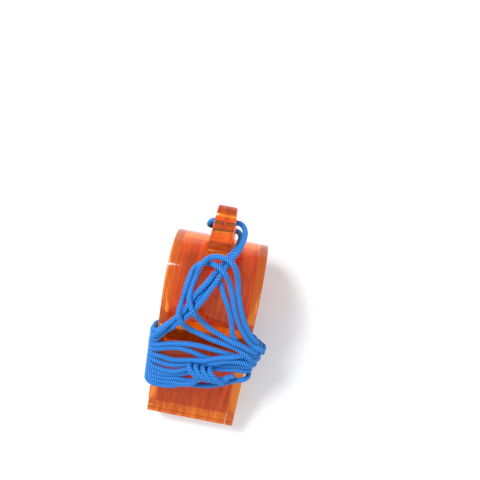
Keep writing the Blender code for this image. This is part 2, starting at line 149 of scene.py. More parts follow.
LYING = (Matrix.Translation((0.0, AXIS_Y * MM, AXIS_Z * MM))
         @ Matrix.Rotation(TILT, 4, "X") @ Matrix.Scale(MM, 4))


def new_object(name, data):
    made = bpy.data.objects.new(name, data)
    bpy.context.scene.collection.objects.link(made)
    return made


# ---------------------------------------------------------------- camera and light

def make_camera():
    data = bpy.data.cameras.new("camera")
    data.sensor_width = SENSOR
    data.lens = LENS
    data.clip_start = 0.005
    data.clip_end = 10.0
    camera = new_object("camera", data)
    across, along, height = CAMERA_PLACE
    camera.location = (across * MM, (AXIS_Y + along) * MM, height * MM)
    camera.rotation_euler = (0.0, 0.0, math.radians(CAMERA_TURN))
    bpy.context.scene.camera = camera


def area_light(name, place, target, size, power):
    data = bpy.data.lights.new(name, "AREA")
    data.shape = "RECTANGLE"
    data.size = data.size_y = size
    data.energy = power
    lamp = new_object(name, data)
    lamp.location = place
    lamp.rotation_euler = (Vector(target) - Vector(place)).to_track_quat("-Z", "Y").to_euler()


def make_lights():
    world = bpy.data.worlds.new("studio")
    world.use_nodes = True
    background = world.node_tree.nodes["Background"]
    background.inputs["Color"].default_value = WORLD_COLOUR
    background.inputs["Strength"].default_value = WORLD_STRENGTH
    bpy.context.scene.world = world
    bpy.context.scene.view_settings.view_transform = "Standard"
    centre = (0.0, 0.0, 0.01)
    area_light("key", KEY_PLACE, centre, KEY_SIZE, KEY_POWER)
    area_light("fill", FILL_PLACE, centre, FILL_SIZE, FILL_POWER)


# ---------------------------------------------------------------- materials

def node(tree, kind, **sockets):
    made = tree.nodes.new(kind)
    for name, value in sockets.items():
        made.inputs[name.replace("_", " ")].default_value = value
    return made


def link(tree, source, target):
    tree.links.new(source, target)


def ramp_between(tree, dark, light):
    """Colour ramp from dark to light across the middle of a noise's range."""
    ramp = tree.nodes.new("ShaderNodeValToRGB")
    first, last = ramp.color_ramp.elements
    first.position, first.color = 0.35, dark
    last.position, last.color = 0.65, light
    return ramp


def principled(name, **sockets):
    material = bpy.data.materials.new(name)
    material.use_nodes = True
    shader = material.node_tree.nodes["Principled BSDF"]
    for key, value in sockets.items():
        shader.inputs[key.replace("_", " ")].default_value = value
    return material, material.node_tree, shader


def plastic_material():
    """Clear orange plastic with fine streaks, the side walls made paler by painted light."""
    material, tree, shader = principled(
        "clear_orange_plastic", Roughness=0.06, IOR=1.49, Transmission_Weight=0.90,
        Emission_Color=GLOW_COLOUR, Emission_Strength=GLOW_STRENGTH)
    coordinates = tree.nodes.new("ShaderNodeTexCoord")
    place = tree.nodes.new("ShaderNodeMapping")
    place.inputs["Scale"].default_value = (1.0, 0.12, 0.12)
    link(tree, coordinates.outputs["Object"], place.inputs["Vector"])
    streaks = node(tree, "ShaderNodeTexNoise", Scale=900.0, Detail=3.0, Roughness=0.6)
    flow = node(tree, "ShaderNodeTexNoise", Scale=260.0, Detail=2.0, Roughness=0.5)
    fine = node(tree, "ShaderNodeTexNoise", Scale=2200.0, Detail=2.0, Roughness=0.6)
    link(tree, place.outputs["Vector"], streaks.inputs["Vector"])
    link(tree, coordinates.outputs["Object"], flow.inputs["Vector"])
    link(tree, coordinates.outputs["Object"], fine.inputs["Vector"])
    tint = ramp_between(tree, STREAK_DARK, STREAK_LIGHT)
    link(tree, streaks.outputs["Fac"], tint.inputs["Fac"])
    axes = tree.nodes.new("ShaderNodeSeparateXYZ")
    link(tree, coordinates.outputs["Object"], axes.inputs["Vector"])
    distance = tree.nodes.new("ShaderNodeMath")
    distance.operation = "ABSOLUTE"
    link(tree, axes.outputs["X"], distance.inputs[0])
    # painted light: a paler colour across the side walls
    begins, full = (WIDTH / 2.0 - SIDE_WALL + blend for blend in WALL_BLEND)
    wall = node(tree, "ShaderNodeMapRange", From_Min=begins * MM, From_Max=full * MM)
    link(tree, distance.outputs["Value"], wall.inputs["Value"])
    colour = tree.nodes.new("ShaderNodeMix")
    colour.data_type = "RGBA"
    colour.inputs["B"].default_value = SIDE_WALL_PAINTED_LIGHT
    link(tree, wall.outputs["Result"], colour.inputs["Factor"])
    link(tree, tint.outputs["Color"], colour.inputs["A"])
    link(tree, colour.outputs["Result"], shader.inputs["Base Color"])
    rough = node(tree, "ShaderNodeMapRange", To_Min=0.03, To_Max=0.13)
    link(tree, fine.outputs["Fac"], rough.inputs["Value"])
    link(tree, rough.outputs["Result"], shader.inputs["Roughness"])
    bump = node(tree, "ShaderNodeBump", Strength=0.12, Distance=0.00006)
    link(tree, flow.outputs["Fac"], bump.inputs["Height"])
    scratch = node(tree, "ShaderNodeBump", Strength=0.10, Distance=0.00002)
    link(tree, streaks.outputs["Fac"], scratch.inputs["Height"])
    link(tree, bump.outputs["Normal"], scratch.inputs["Normal"])
    link(tree, scratch.outputs["Normal"], shader.inputs["Normal"])
    return material


def pea_material():
    material, tree, shader = principled("pea_plastic", Roughness=0.5, IOR=1.46)
    coordinates = tree.nodes.new("ShaderNodeTexCoord")
    grain = node(tree, "ShaderNodeTexNoise", Scale=1400.0, Detail=4.0, Roughness=0.6)
    link(tree, coordinates.outputs["Object"], grain.inputs["Vector"])
    tint = ramp_between(tree, PEA_DARK, PEA_LIGHT)
    link(tree, grain.outputs["Fac"], tint.inputs["Fac"])
    link(tree, tint.outputs["Color"], shader.inputs["Base Color"])
    bump = node(tree, "ShaderNodeBump", Strength=0.4, Distance=0.0001)
    link(tree, grain.outputs["Fac"], bump.inputs["Height"])
    link(tree, bump.outputs["Normal"], shader.inputs["Normal"])
    return material


def cord_material():
    """Round braid: a painted highlight on the yarn crowns, painted shade in the gaps between yarns and
    fine fibres on each yarn.
    """
    material, tree, shader = principled(
        "blue_braid", Roughness=0.62, Specular_IOR_Level=0.25, Sheen_Weight=0.12,
        Sheen_Roughness=0.4, Sheen_Tint=(0.45, 0.75, 1.0, 1.0))
    height = tree.nodes.new("ShaderNodeAttribute")
    height.attribute_name = "braid"
    # the braid's relief sets painted shade in the gaps and a painted highlight on the crowns
    colours = tree.nodes.new("ShaderNodeValToRGB")
    ramp = colours.color_ramp
    ramp.elements[0].position = 0.18
    ramp.elements[0].color = YARN_GAP_PAINTED_SHADE
    ramp.elements[1].position = 0.86
    ramp.elements[1].color = YARN_CROWN_PAINTED_HIGHLIGHT
    middle = ramp.elements.new(0.52)
    middle.color = YARN_SIDE
    link(tree, height.outputs["Fac"], colours.inputs["Fac"])
    uv = tree.nodes.new("ShaderNodeUVMap")
    uv.uv_map = "along"
    fibre = node(tree, "ShaderNodeTexNoise", Scale=9.0, Detail=3.0, Roughness=0.6)
    link(tree, uv.outputs["UV"], fibre.inputs["Vector"])
    shade = node(tree, "ShaderNodeMapRange", To_Min=0.75, To_Max=1.2)
    link(tree, fibre.outputs["Fac"], shade.inputs["Value"])
    mix = tree.nodes.new("ShaderNodeMix")
    mix.data_type = "RGBA"
    mix.blend_type = "MULTIPLY"
    mix.inputs["Factor"].default_value = 1.0
    link(tree, colours.outputs["Color"], mix.inputs["A"])
    link(tree, shade.outputs["Result"], mix.inputs["B"])
    link(tree, mix.outputs["Result"], shader.inputs["Base Color"])
    bump = node(tree, "ShaderNodeBump", Strength=0.5, Distance=0.00005)
    link(tree, fibre.outputs["Fac"], bump.inputs["Height"])
    link(tree, bump.outputs["Normal"], shader.inputs["Normal"])
    return material


def floor_material():
    return principled("pale_floor", Base_Color=FLOOR_COLOUR, Roughness=0.7)[0]


# ---------------------------------------------------------------- the cord's route

def level(x, y, z):
    """Place given as it lies, from the barrel's axis, in the whistle's level frame."""
    return np.array((x, y * TILT_COS + z * TILT_SIN, z * TILT_COS - y * TILT_SIN))


def over(x, y, lift=ON_SURFACE):
    """Place above the whistle's upper surface; y is level with the ground, from the axis."""
    radius = BARREL_RADIUS + lift
    if y >= -radius * TILT_SIN:
        z = math.sqrt(radius * radius - y * y)
    else:
        z = radius * TILT_COS + (y + radius * TILT_SIN) * TILT_SIN / TILT_COS
    return level(x, y, z)


def at(x, y, z):
    """Free place; y from the barrel's axis and z from the ground."""
    return level(x, y, z - AXIS_Z)


def in_hole(x):
    return np.array((x, LUG_HOLE_REACH, LUG_TIP_CENTRE[1]))


def route_a():
    return [in_hole(0.2), in_hole(1.6), at(3.2, 14.8, 20.9), at(4.3, 14.2, 21.0),
            at(4.9, 13.1, 21.0), at(5.0, 11.9, 20.9), at(4.8, 10.6, 20.8), at(4.5, 9.6, 21.3),
            at(4.1, 8.5, 22.2), at(3.5, 7.3, 22.8), at(2.9, 6.1, 22.8), over(2.3, 4.8, 1.8),
            over(1.7, 3.3, 1.6), over(1.2, 2.2, 1.7), over(0.7, 1.0, 2.5), over(-0.1, -0.5, 2.5),
            over(-0.8, -1.9, 2.5), over(-1.6, -3.6, 2.5), over(-2.5, -5.2, 2.5),
            over(-3.5, -6.9, 2.5), over(-4.6, -8.3, 2.5), over(-5.8, -9.5, 2.5),
            over(-7.4, -11.3, 2.2), over(-8.7, -12.7, 1.5), over(-9.8, -13.9),
            over(-10.7, -15.0, 0.9), over(-11.3, -15.8, 0.7)]


def route_b():
    return [in_hole(-0.2), in_hole(-1.6), at(-2.8, 14.4, 20.4), at(-3.4, 13.9, 19.5),
            at(-3.7, 13.3, 18.3), at(-3.5, 13.1, 16.7), at(-2.7, 13.1, 15.1),
            at(-0.6, 13.1, 13.9), at(2.0, 13.1, 13.8), at(3.6, 12.7, 14.9), at(4.1, 11.6, 16.7),
            at(4.0, 10.6, 18.4), at(3.8, 9.6, 20.0), at(3.3, 8.6, 21.2), at(2.7, 7.6, 21.7),
            at(2.2, 6.6, 21.6), over(1.7, 5.7, 1.4), over(1.2, 4.7, 1.1), over(0.4, 3.3, 1.3),
            over(-0.6, 1.5, 2.3), over(-1.6, -0.1, 2.5), over(-2.6, -1.8, 2.5),
            over(-3.7, -3.6, 2.5), over(-4.4, -5.4, 2.5), over(-5.1, -6.9, 2.5),
            over(-6.2, -8.3, 2.5), over(-7.6, -10.0, 2.5), over(-8.8, -11.4, 2.4),
            over(-9.8, -12.7, 2.2), over(-10.8, -13.9, 1.9), over(-11.5, -14.9, 1.3)]


def route_under():
    return [over(6.5, -12.9), over(6.4, -11.4), over(6.2, -9.9), over(5.8, -8.2), over(5.3, -6.6),
            over(4.6, -5.0), over(3.8, -3.5), over(2.9, -2.1), over(2.3, -0.7), over(1.6, 0.7),
            over(0.5, 1.4), over(-0.7, 0.9), over(-1.3, -0.7), over(-2.1, -2.8), over(-3.0, -4.8),
            over(-4.2, -6.4), over(-5.7, -8.4), over(-7.5, -10.3), over(-9.0, -11.4),
            over(-10.2, -12.8), over(-10.9, -14.0), over(-11.4, -15.0, 0.6)]


def route_outer():
    return [over(13.1, -13.0, 1.2), over(12.5, -12.2, 1.9), over(11.6, -11.2, 2.0),
            over(10.6, -10.1, 1.6), over(9.6, -8.8, 1.2), over(8.7, -7.4, 1.0), over(7.8, -5.6),
            over(7.0, -3.8), over(6.4, -2.1), over(5.8, -0.6, 1.1), over(5.5, 1.3, 1.7),
            over(5.0, 2.8, 2.6), over(4.5, 4.2, 3.6), over(3.7, 5.4, 4.4), over(2.6, 6.1, 4.4),
            over(1.4, 6.4, 4.2), over(0.3, 6.5, 3.6), over(-1.0, 6.3, 3.0), over(-2.2, 5.7, 3.2),
            over(-3.0, 4.7, 3.5), over(-3.5, 3.6, 3.1), over(-3.9, 2.3, 1.6), over(-4.1, 0.8),
            over(-4.6, -1.1, 1.6), over(-4.8, -2.7, 3.4), over(-4.5, -4.4, 4.8),
            over(-3.8, -5.9, 4.5), over(-2.8, -7.2, 4.2), over(-1.4, -8.6, 3.2),
            over(0.3, -9.9, 1.7), over(2.7, -11.0), over(4.7, -11.8, 1.8), over(6.7, -12.3, 2.6),
            over(8.8, -12.8, 2.4), over(10.8, -13.7, 1.8), over(12.0, -14.6, 0.9)]


def route_inner():
    return [over(13.2, -14.2, 1.2), over(12.5, -13.5, 1.8), over(11.3, -12.4, 1.9),
            over(10.0, -11.2, 1.4), over(8.9, -9.9, 1.0), over(7.8, -8.4), over(6.8, -6.7),
            over(5.9, -4.8), over(5.1, -2.6, 1.2), over(4.4, -0.7, 1.7), over(3.6, 1.0, 2.5),
            over(3.0, 2.1, 3.2), over(2.2, 3.1, 3.4), over(1.2, 3.9, 3.5), over(0.1, 4.4, 3.3),
            over(-1.1, 4.6, 2.0), over(-2.3, 4.6, 1.1), over(-3.4, 4.3), over(-4.3, 3.7),
            over(-4.9, 2.9), over(-5.3, 1.7), over(-5.5, 0.5), over(-5.7, -0.8),
            over(-5.8, -2.5, 1.4), over(-6.1, -4.6, 3.0), over(-6.4, -6.6, 4.2),
            over(-6.3, -8.3, 4.2), over(-5.4, -9.7, 4.1), over(-4.5, -10.7, 3.3),
            over(-3.1, -11.5, 2.4), over(-0.9, -12.1, 1.3), over(1.5, -12.8),
            over(4.0, -13.3, 1.4), over(5.9, -13.6, 2.7), over(8.4, -14.1, 2.5),
            over(10.6, -14.9, 2.0), over(12.0, -15.8, 1.0)]


def underside(y):
    """Height of the mouthpiece's underside."""
    share = (-y - BARREL_RADIUS) / (MOUTH_REACH - BARREL_RADIUS)
    return BARREL_RADIUS - NECK_HEIGHT + (NECK_HEIGHT - TIP_HEIGHT) * share


LAYER_LIFT = {1: 0.65, 1.5: 1.3, 2: 1.9}  # of a strand's middle; 1.5 is between two layers
FLANK = WIDTH / 2.0 + 0.7        # the cord bulges a little past the flanks
FLANK_ROUNDING = 1.8
TURN_RADIUS = 2.4                # of a strand's first layer where it goes round an edge


def lift_between(first, last, share):
    return LAYER_LIFT[first] + (LAYER_LIFT[last] - LAYER_LIFT[first]) * share


def side_turn(side, y_top, y_low, layer_top, layer_low, downward):
    """Points round one flank of the mouthpiece, between its top and its underside."""
    points = []
    steps = [("top", 80, 0.0), ("top", 45, 0.12), ("top", 10, 0.25), ("low", -10, 0.7),
             ("low", -45, 0.85), ("low", -80, 1.0)]
    for corner, angle, share in steps:
        y = y_top + (y_low - y_top) * share
        lift = lift_between(layer_top, layer_low, share)
        radius = TURN_RADIUS + lift - LAYER_LIFT[1]
        reach = FLANK + lift - radius
        if corner == "top":
            height = BARREL_RADIUS + lift - radius
        else:
            height = underside(y) - lift + radius
        turn = math.radians(angle)
        points.append(np.array((side * (reach + radius * math.cos(turn)), y,
                                height + radius * math.sin(turn))))
    return points if downward else points[::-1]


def below(side_from, y_from, y_to, layer_from, layer_to):
    """Points under the mouthpiece, from one flank to the other."""
    points = []
    for x, share in ((7.5, 0.12), (2.5, 0.38), (-2.5, 0.62), (-7.5, 0.88)):
        y = y_from + (y_to - y_from) * share
        points.append(np.array((side_from * x, y,
                                underside(y) - lift_between(layer_from, layer_to, share))))
    return points


def front(*points):
    """Points on the mouthpiece's top, each (x, y, layer)."""
    return [np.array((x, y, BARREL_RADIUS + LAYER_LIFT[layer])) for x, y, layer in points]


LEFT, RIGHT = -1.0, 1.0
ROUTE_HOLD, FRONT_HOLD = 1.0, 0.5  # how firmly a stretch keeps to its place
WORLD_UP = np.array((0.0, TILT_SIN, TILT_COS))

# How the cords are drawn tight
RELAX_ROUNDS = 460
PATH_SPACING = 0.45
HELD_PULL, FREE_PULL = 0.25, 0.012  # share of the way back to the route in each round
SINKING = 0.012                  # how far a held stretch sinks in each round
NEAR_TIGHTENING, WIDE_TIGHTENING = 0.22, 0.06  # share of the way to the middle of two neighbours
WIDE_REACH = 1.5                 # along the cord to the wide tightening's neighbours
CLEARANCE = 1.01                 # between two strands' middles, in diameters
SEARCH_REACH, SEARCH_EVERY = 1.6, 10  # in clearances, and in rounds
NEIGHBOUR_REACH = 2.6            # along the cord, where it isn't kept apart from itself
PUSHES, PUSH_SHARE = 3, 1.3      # times in each round, and share of the overlap
LIFT_OFF = 0.02                  # kept between the cord and the whistle
ROUTE_STEPS, FINE_STEPS = 24, 6  # of a curve between two points
PAIR_BLOCK = 256                 # points compared with all others at once


def add(path, spans, points, hold):
    """Adds a stretch whose place is held, more or less firmly."""
    spans.append((len(path), len(path) + len(points), hold))
    path += points


def turn_under(side, y_top, y_low, y_low_far, y_top_far, layers=(1, 1, 1, 1), shorten=(0, 0)):
    """Down one flank, under the mouthpiece and up the other flank."""
    turn = (side_turn(side, y_top, y_low, layers[0], layers[1], True)
            + below(side, y_low, y_low_far, layers[1], layers[2])
            + side_turn(-side, y_top_far, y_low_far, layers[3], layers[2], False))
    return turn[shorten[0]:len(turn) - shorten[1]]


def cord_a():
    """First cord: lug, left flank, three turns, one loop, two turns back, knot."""
    spans = []
    path = []
    add(path, spans, route_a(), ROUTE_HOLD)
    path += turn_under(LEFT, -12.2, -15.9, -14.4, -11.0, (1, 1, 1.5, 2), (2, 0))
    add(path, spans, front((9.1, -11.1, 2), (6.8, -11.8, 2), (4.6, -12.8, 2), (2.4, -13.8, 2),
                           (0.1, -14.9, 1.5), (-2.1, -15.8, 1), (-4.5, -16.4, 1), (-6.9, -16.7, 1),
                           (-8.8, -16.2, 1)), FRONT_HOLD)
    path += turn_under(LEFT, -15.7, -18.3, -16.4, -12.3, (1, 1, 1, 1.5))
    add(path, spans, front((9.4, -12.5, 2), (7.0, -13.0, 2), (4.8, -13.6, 2), (2.5, -14.6, 2),
                           (0.3, -15.8, 1.5), (-2.0, -16.9, 1), (-4.3, -17.7, 1), (-6.7, -18.3, 1),
                           (-8.8, -18.1, 1)), FRONT_HOLD)
    path += turn_under(LEFT, -17.3, -19.2, -17.6, -14.0, (1, 1, 1, 1))
    add(path, spans, front((9.4, -14.1, 2), (7.3, -14.4, 2), (5.0, -14.9, 2), (2.7, -15.9, 1),
                           (0.4, -17.1, 1), (-1.8, -18.3, 1), (-4.1, -19.5, 1), (-6.0, -20.2, 1),
                           (-7.7, -20.3, 1), (-9.3, -19.9, 1)), FRONT_HOLD)
    path += turn_under(LEFT, -19.2, -20.4, -14.2, -10.6, (1, 1, 2, 1.5), (0, 2))
    add(path, spans, route_inner(), ROUTE_HOLD)
    path += turn_under(RIGHT, -11.8, -14.8, -20.8, -20.9, (2, 2, 1, 1), (2, 0))
    add(path, spans, front((-9.4, -21.3, 1), (-8.0, -21.5, 1), (-6.3, -21.2, 1), (-4.5, -20.5, 1),
                           (-2.6, -19.5, 1), (-0.6, -18.4, 1), (1.7, -17.2, 1), (5.1, -16.1, 1),
                           (7.5, -15.8, 1), (9.4, -15.7, 1)), FRONT_HOLD)
    path += turn_under(RIGHT, -15.6, -18.2, -22.0, -22.2, (1, 1, 1, 1))
    add(path, spans, front((-9.4, -22.5, 1), (-7.9, -22.6, 1), (-5.7, -22.1, 1), (-3.8, -22.0, 1),
                           (-1.8, -21.8, 1.5), (0.0, -20.8, 2)), FRONT_HOLD)
    path += [np.array(point) for point in ((1.0, -19.6, 13.6), (1.3, -18.2, KNOT_CENTRE[2]))]
    return path, spans


def cord_b():
    """Second cord: lug, left flank, two turns, the other loop, the short run, two turns, knot."""
    spans = []
    path = []
    add(path, spans, route_b(), ROUTE_HOLD)
    path += turn_under(LEFT, -11.5, -15.1, -13.2, -11.2, (1, 1, 1, 1), (2, 0))
    add(path, spans, front((8.8, -11.9, 1), (6.4, -11.9, 1), (4.4, -11.6, 1), (2.0, -11.3, 1),
                           (-0.4, -11.1, 1), (-2.8, -11.1, 1), (-5.1, -11.5, 1), (-7.3, -12.1, 1),
                           (-9.1, -12.7, 1.5)), FRONT_HOLD)
    path += turn_under(LEFT, -13.2, -16.7, -15.4, -12.7, (1.5, 1, 1, 1))
    add(path, spans, front((9.4, -13.2, 1), (7.2, -13.9, 1), (4.9, -14.5, 1), (3.0, -14.5, 1),
                           (1.5, -14.3, 1), (0.0, -13.9, 1), (-1.3, -13.4, 1), (-2.5, -13.0, 1),
                           (-3.8, -12.8, 1), (-5.0, -12.7, 1), (-7.4, -12.9, 1),
                           (-9.3, -13.3, 1)), FRONT_HOLD)
    path += turn_under(LEFT, -14.3, -17.5, -12.8, -9.4, (1, 1, 1, 1), (0, 2))
    add(path, spans, route_outer(), ROUTE_HOLD)
    path += turn_under(RIGHT, -10.8, -13.8, -14.4, -10.7, (1.5, 1.5, 1, 1), (2, 3))
    add(path, spans, route_under()[::-1], ROUTE_HOLD)
    path += front((8.4, -9.4, 1))
    path += turn_under(RIGHT, -10.2, -14.6, -24.2, -24.4, (1, 2, 1, 1))
    add(path, spans, front((-9.4, -24.9, 1), (-7.2, -24.4, 1), (-4.8, -23.7, 1), (-1.9, -22.9, 1),
                           (0.8, -22.8, 1), (3.2, -22.3, 1), (5.5, -21.4, 1), (7.7, -20.1, 1),
                           (9.2, -19.0, 1)), FRONT_HOLD)
    path += turn_under(RIGHT, -18.2, -19.6, -23.2, -23.4, (1, 1, 1, 1))
    add(path, spans, front((-9.4, -23.6, 1), (-7.8, -23.5, 1), (-5.6, -23.1, 1), (-3.2, -22.6, 1.5),
                           (-0.8, -21.6, 2)), FRONT_HOLD)
    path += [np.array(point) for point in ((0.2, -20.2, 13.6), (0.5, -18.9, KNOT_CENTRE[2]))]
    return path, spans


def catmull_rom(a, b, c, d, t):
    return 0.5 * ((2.0 * b) + (c - a) * t + (2.0 * a - 5.0 * b + 4.0 * c - d) * t * t
                  + (3.0 * b - a - 3.0 * c + d) * t * t * t)


def even(points, spacing, extra=None):
    """Evenly spaced points along a polyline, with values carried along if given."""
    steps = np.linalg.norm(np.diff(points, axis=0), axis=1)
    along = np.concatenate(([0.0], np.cumsum(steps)))
    count = max(2, int(round(along[-1] / spacing)))
    wanted = np.linspace(0.0, along[-1], count + 1)
    result = np.stack([np.interp(wanted, along, points[:, k]) for k in range(3)], axis=1)
    if extra is None:
        return result
    return result, np.interp(wanted, along, extra)


def smooth_route(points, spans, spacing):
    """Dense points through the route's own points, and how firmly each is held.

    A held route gives way at its ends, so that the turns run on smoothly from it.
    """
    padded = [2.0 * points[0] - points[1]] + points + [2.0 * points[-1] - points[-2]]
    fine, firmness = [], []
    held = np.zeros(len(points))
    for first, last, hold in spans:
        held[first:last] = hold
        if hold == ROUTE_HOLD:
            held[last - 2:last] = 0.0
            if first > 0:
                held[first:first + 2] = 0.0
    for index in range(len(points) - 1):
        for step in range(ROUTE_STEPS):
            t = step / ROUTE_STEPS
            fine.append(catmull_rom(*padded[index:index + 4], t))
            firmness.append(held[index] * (1.0 - t) + held[index + 1] * t)
    fine.append(points[-1])
    firmness.append(held[-1])
    return even(np.array(fine), spacing, np.array(firmness))


def profile_distance(y, z):
    """Distance from the side view of the barrel with its mouthpiece."""
    slope = (NECK_HEIGHT - TIP_HEIGHT) / (MOUTH_REACH - BARREL_RADIUS)
    low = (BARREL_RADIUS - NECK_HEIGHT) + slope * (-y - BARREL_RADIUS)
    wedge = np.maximum.reduce([z - BARREL_RADIUS, low - z, -MOUTH_REACH - y, y])
    return np.minimum(np.hypot(y, z) - BARREL_RADIUS, wedge)


def rounded(profile, across, radius):
    """Distance from a shape that is both inside its side view and inside its width."""
    side, across = profile + radius, across + radius
    outside = np.hypot(np.maximum(side, 0.0), np.maximum(across, 0.0))
    return outside + np.minimum(np.maximum(side, across), 0.0) - radius


def lug_distance(p):
    x, y, z = p[:, 0], p[:, 1], p[:, 2]
    top = LUG_ROOT_TOP[1] + (LUG_TIP_CENTRE[1] + LUG_TIP_RADIUS - LUG_ROOT_TOP[1]) * (
        (y - LUG_ROOT_TOP[0]) / (LUG_TIP_CENTRE[0] - LUG_ROOT_TOP[0]))
    low = LUG_ROOT_BOTTOM[1] + (LUG_TIP_CENTRE[1] - LUG_TIP_RADIUS - LUG_ROOT_BOTTOM[1]) * (
        (y - LUG_ROOT_BOTTOM[0]) / (LUG_TIP_CENTRE[0] - LUG_ROOT_BOTTOM[0]))
    end = np.hypot(y - LUG_TIP_CENTRE[0], z - LUG_TIP_CENTRE[1]) - LUG_TIP_RADIUS
    straight = np.maximum.reduce([z - top, low - z, y - LUG_TIP_CENTRE[0],
                                  LUG_ROOT_TOP[0] - LUG_ROOT_DEPTH - y])
    reach = LUG_TIP_CENTRE[0] + LUG_TIP_RADIUS - LUG_ROOT_TOP[0]
    share = np.clip((y - LUG_ROOT_TOP[0]) / reach, 0.0, 1.0)
    half = 0.5 * (LUG_ROOT_WIDTH + (LUG_TIP_WIDTH - LUG_ROOT_WIDTH) * share)
    solid = rounded(np.minimum(end, straight), np.abs(x) - half, LUG_ROUNDING)
    hole = LUG_HOLE_RADIUS - np.hypot(y - LUG_HOLE_REACH, z - LUG_TIP_CENTRE[1])
    return np.maximum(solid, hole)


def whistle_distance(p):
    """Distance from the whistle, with its flanks rounded out to where the cord bulges."""
    body = rounded(profile_distance(p[:, 1], p[:, 2]), np.abs(p[:, 0]) - FLANK, FLANK_ROUNDING)
    return np.minimum(body, lug_distance(p))


def push_out(p, clear):
    """Moves points that are nearer to the whistle than clear straight out."""
    d = whistle_distance(p)
    near = np.nonzero(d < clear)[0]
    if not len(near):
        return
    q, tiny = p[near], 1e-3
    slope = np.stack([(whistle_distance(q + step) - whistle_distance(q - step)) / (2 * tiny)
                      for step in np.eye(3) * tiny], axis=1)
    slope /= np.maximum(np.linalg.norm(slope, axis=1, keepdims=True), 1e-6)
    p[near] += slope * (clear - d[near])[:, None]


def near_pairs(p, cord, order, reach, skip):
    """Pairs of points nearer than reach that are not neighbours on one cord."""
    first, second = [], []
    for start in range(0, len(p), PAIR_BLOCK):
        stop = min(len(p), start + PAIR_BLOCK)
        gap = np.linalg.norm(p[start:stop, None, :] - p[None, :, :], axis=2)
        i, j = np.nonzero(gap < reach)
        i += start
        keep = (j > i) & ((cord[i] != cord[j]) | (np.abs(order[i] - order[j]) > skip))
        first.append(i[keep])
        second.append(j[keep])
    return np.concatenate(first), np.concatenate(second)


def relax(paths, holds, spacing):
    """Draws the cords tight, lets them sink onto what is under them and keeps them apart."""
    lengths = [len(p) for p in paths]
    p = np.concatenate(paths)
    home = p.copy()
    hold = np.concatenate(holds)
    cord = np.repeat(np.arange(len(paths)), lengths)
    order = np.concatenate([np.arange(n) for n in lengths])
    starts = np.cumsum([0] + lengths)
    fixed = np.zeros(len(p))
    for a, b in zip(starts, starts[1:]):
        fixed[[a, a + 1, b - 2, b - 1]] = 1.0
    pull = (np.where(hold > 0.0, HELD_PULL * hold, FREE_PULL) * (1.0 - fixed))[:, None]
    free = ((hold > 0.0) & (home[:, 1] < LUG_ROOT_TOP[0]))[:, None]
    sink = SINKING * free * (1.0 - fixed)[:, None] * WORLD_UP
    apart = CORD_DIAMETER * CLEARANCE
    skip = int(NEIGHBOUR_REACH / spacing)
    wide = max(1, int(round(WIDE_REACH / spacing)))
    for turn in range(RELAX_ROUNDS):
        if turn % SEARCH_EVERY == 0:
            one, two = near_pairs(p, cord, order, apart * SEARCH_REACH, skip)
        for a, b in zip(starts, starts[1:]):
            q = p[a:b]
            step = np.zeros_like(q)
            step[1:-1] += NEAR_TIGHTENING * (0.5 * (q[:-2] + q[2:]) - q[1:-1])
            step[wide:-wide] += WIDE_TIGHTENING * (
                0.5 * (q[:-2 * wide] + q[2 * wide:]) - q[wide:-wide])
            q += step * (1.0 - fixed[a:b, None])
        back = home - p
        lifted = (back @ WORLD_UP)[:, None] * WORLD_UP * free
        p += (back - lifted) * pull - sink
        for _ in range(PUSHES):
            away = p[two] - p[one]
            gap = np.linalg.norm(away, axis=1)
            hit = gap < apart
            i, j = one[hit], two[hit]
            push = (away[hit] / np.maximum(gap[hit], 1e-6)[:, None]
                    * ((apart - gap[hit]) * 0.5)[:, None])
            share = np.zeros(len(p))
            move = np.zeros_like(p)
            np.add.at(move, j, push)
            np.add.at(move, i, -push)
            np.add.at(share, j, 1.0)
            np.add.at(share, i, 1.0)
            p += move / np.maximum(share, 1.0)[:, None] * PUSH_SHARE * (1.0 - fixed[:, None])
            push_out(p, CORD_RADIUS + LIFT_OFF)
    return [p[a:b] for a, b in zip(starts, starts[1:])]


def make_paths():
    paths, holds = [], []
    for points, spans in (cord_a(), cord_b()):
        path, hold = smooth_route(points, spans, PATH_SPACING)
        paths.append(path)
        holds.append(hold)
    return relax(paths, holds, PATH_SPACING)


def resampled(path, spacing):
    """Fine, even points on a smooth curve through a relaxed path."""
    for _ in range(2):
        path[1:-1] = 0.5 * path[1:-1] + 0.25 * (path[:-2] + path[2:])
    padded = np.concatenate(([2 * path[0] - path[1]], path, [2 * path[-1] - path[-2]]))
    t = np.arange(FINE_STEPS)[:, None, None] / FINE_STEPS
    a, b, c, d = padded[:-3], padded[1:-2], padded[2:-1], padded[3:]
    fine = catmull_rom(a[None], b[None], c[None], d[None], t).transpose(1, 0, 2).reshape(-1, 3)
    fine = np.concatenate((fine, path[-1:]))
    return even(fine, spacing)


# ---------------------------------------------------------------- cord surface

